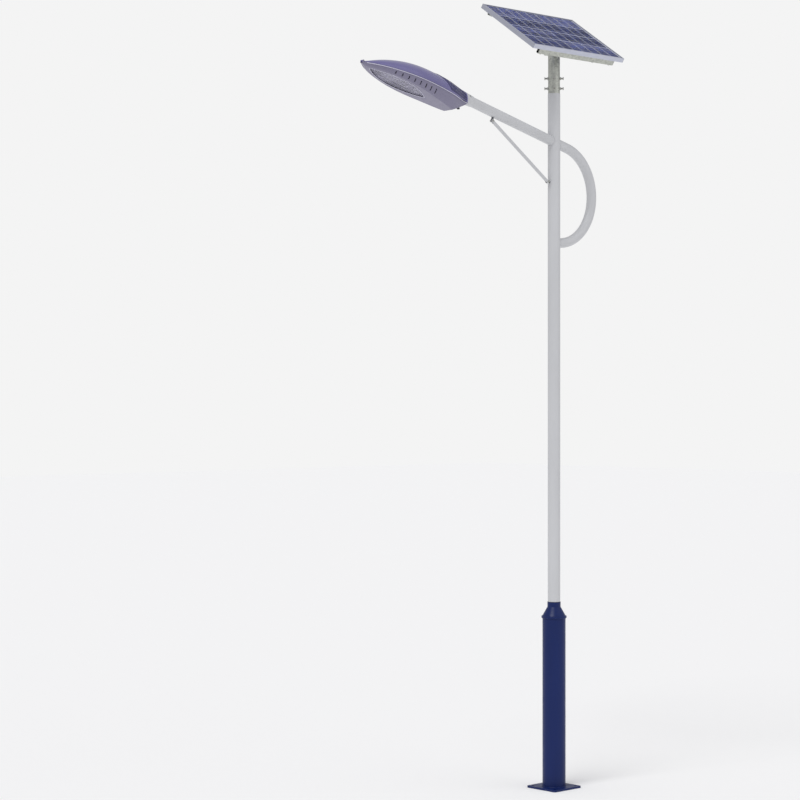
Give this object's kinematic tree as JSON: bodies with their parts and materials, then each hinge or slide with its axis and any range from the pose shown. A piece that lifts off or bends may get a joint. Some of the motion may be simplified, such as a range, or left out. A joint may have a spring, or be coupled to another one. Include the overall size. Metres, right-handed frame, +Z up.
{
  "type": "solar street lamp",
  "caption": "Solar street lamp: tall round pole with a curved, braced light arm, a leaf-shaped lamp head and a tilted solar panel on top.",
  "frame": {"origin": "centre of the base plate's underside", "axes": "+Z up the pole; the light arm reaches towards -X and the solar panel faces -Y and up"},
  "size_m": [2.5269, 0.5886, 6.0804],
  "materials": {
    "navy_paint": "gloss powder coat",
    "white_paint": "satin powder coat",
    "galvanised_steel": "hot-dip galvanised",
    "fastener_steel": "zinc plated",
    "dark_bracket": "satin",
    "blue_cover": "gloss enamel",
    "grey_housing": "satin enamel",
    "battery_plastic": "moulded",
    "terminal_brass": "turned",
    "controller_plastic": "moulded",
    "driver_case": "die cast",
    "seal_rubber": "moulded",
    "window_glass": "tempered, clear",
    "circuit_board": "white solder mask",
    "led_lens": "moulded acrylic",
    "panel_frame": "anodised",
    "panel_glass": "tempered, low iron",
    "solar_cell": "polycrystalline silicon",
    "backsheet": "laminated film"
  },
  "bodies": {
    "pole": {"base_plate": "navy_paint", "base_tube": "navy_paint", "base_collar": "navy_paint", "upper_pole": "white_paint", "pole_centring_ring": "galvanised_steel", "pole_tenon": "galvanised_steel", "light_arm": "white_paint", "arm_loop": "white_paint", "brace_rod": "white_paint", "brace_lugs": "dark_bracket", "brace_bolts": "fastener_steel", "hatch_frame": "navy_paint", "hatch_hinge_fixed": "navy_paint", "hatch_hinge_pins": "fastener_steel", "battery_stand": "galvanised_steel", "battery_case": "battery_plastic", "battery_lid": "battery_plastic", "battery_terminals": "terminal_brass", "controller_bracket": "galvanised_steel", "charge_controller": "controller_plastic", "earth_stud": "fastener_steel", "lower_housing": "grey_housing", "rear_bulkhead": "grey_housing", "arm_neck": "white_paint", "spigot_clamp": "galvanised_steel", "clamp_screws": "fastener_steel", "cover_gasket": "seal_rubber", "gear_tray": "galvanised_steel", "led_driver": "driver_case", "terminal_block": "battery_plastic", "window_gasket": "seal_rubber", "window_glass": "window_glass", "window_retainer": "driver_case", "led_heat_sink": "driver_case", "led_board": "circuit_board", "led_lenses": "led_lens", "cover_hinge_pin": "fastener_steel"},
    "head_cover": {"top_cover": "blue_cover"},
    "cover_latch": {"latch_knob": "dark_bracket"},
    "panel_mast": {"panel_sleeve": "galvanised_steel", "sleeve_nuts": "fastener_steel", "sleeve_set_bolts": "fastener_steel", "tilt_yoke": "galvanised_steel", "tilt_pivot_bolts": "fastener_steel"},
    "solar_panel": {"tilt_lock_bolts": "fastener_steel", "tilt_ears": "galvanised_steel", "mounting_rails": "galvanised_steel", "cross_beams": "galvanised_steel", "frame_long_sides": "panel_frame", "frame_short_sides": "panel_frame", "panel_glass": "panel_glass", "solar_cells": "solar_cell", "panel_backsheet": "backsheet", "junction_box": "battery_plastic", "junction_box_lid": "battery_plastic", "junction_box_glands": "battery_plastic"},
    "service_door": {"hatch_door": "navy_paint", "lock_barrel": "fastener_steel"},
    "lock_tongue": {"lock_cam": "fastener_steel"}
  },
  "joints": [
    {"name": "panel_azimuth", "type": "hinge", "parent": "pole", "child": "panel_mast", "pos_m": [0, 0, 5.4054], "axis": [0, 0, 1], "range_deg": [-180, 180]},
    {"name": "panel_tilt", "type": "hinge", "parent": "panel_mast", "child": "solar_panel", "pos_m": [0, 0, 5.7754], "axis": [1, 0, 0], "range_deg": [-24, 16]},
    {"name": "cover_lift", "type": "hinge", "parent": "pole", "child": "head_cover", "pos_m": [-2.00808, 0, 5.4455], "axis": [0, -1, 0], "range_deg": [0, 55]},
    {"name": "latch_turn", "type": "hinge", "parent": "pole", "child": "cover_latch", "pos_m": [-1.04066, 0, 5.2298], "axis": [-0.1994, 0, -0.9799], "range_deg": [0, 90]},
    {"name": "door_swing", "type": "hinge", "parent": "pole", "child": "service_door", "pos_m": [0.073, 0.06387, 0.55], "axis": [0, 0, 1], "range_deg": [0, 110]},
    {"name": "door_lock", "type": "hinge", "parent": "service_door", "child": "lock_tongue", "pos_m": [0.07308, -0.03254, 0.55], "axis": [0.9135, -0.4067, 0], "range_deg": [0, 90]}
  ]
}
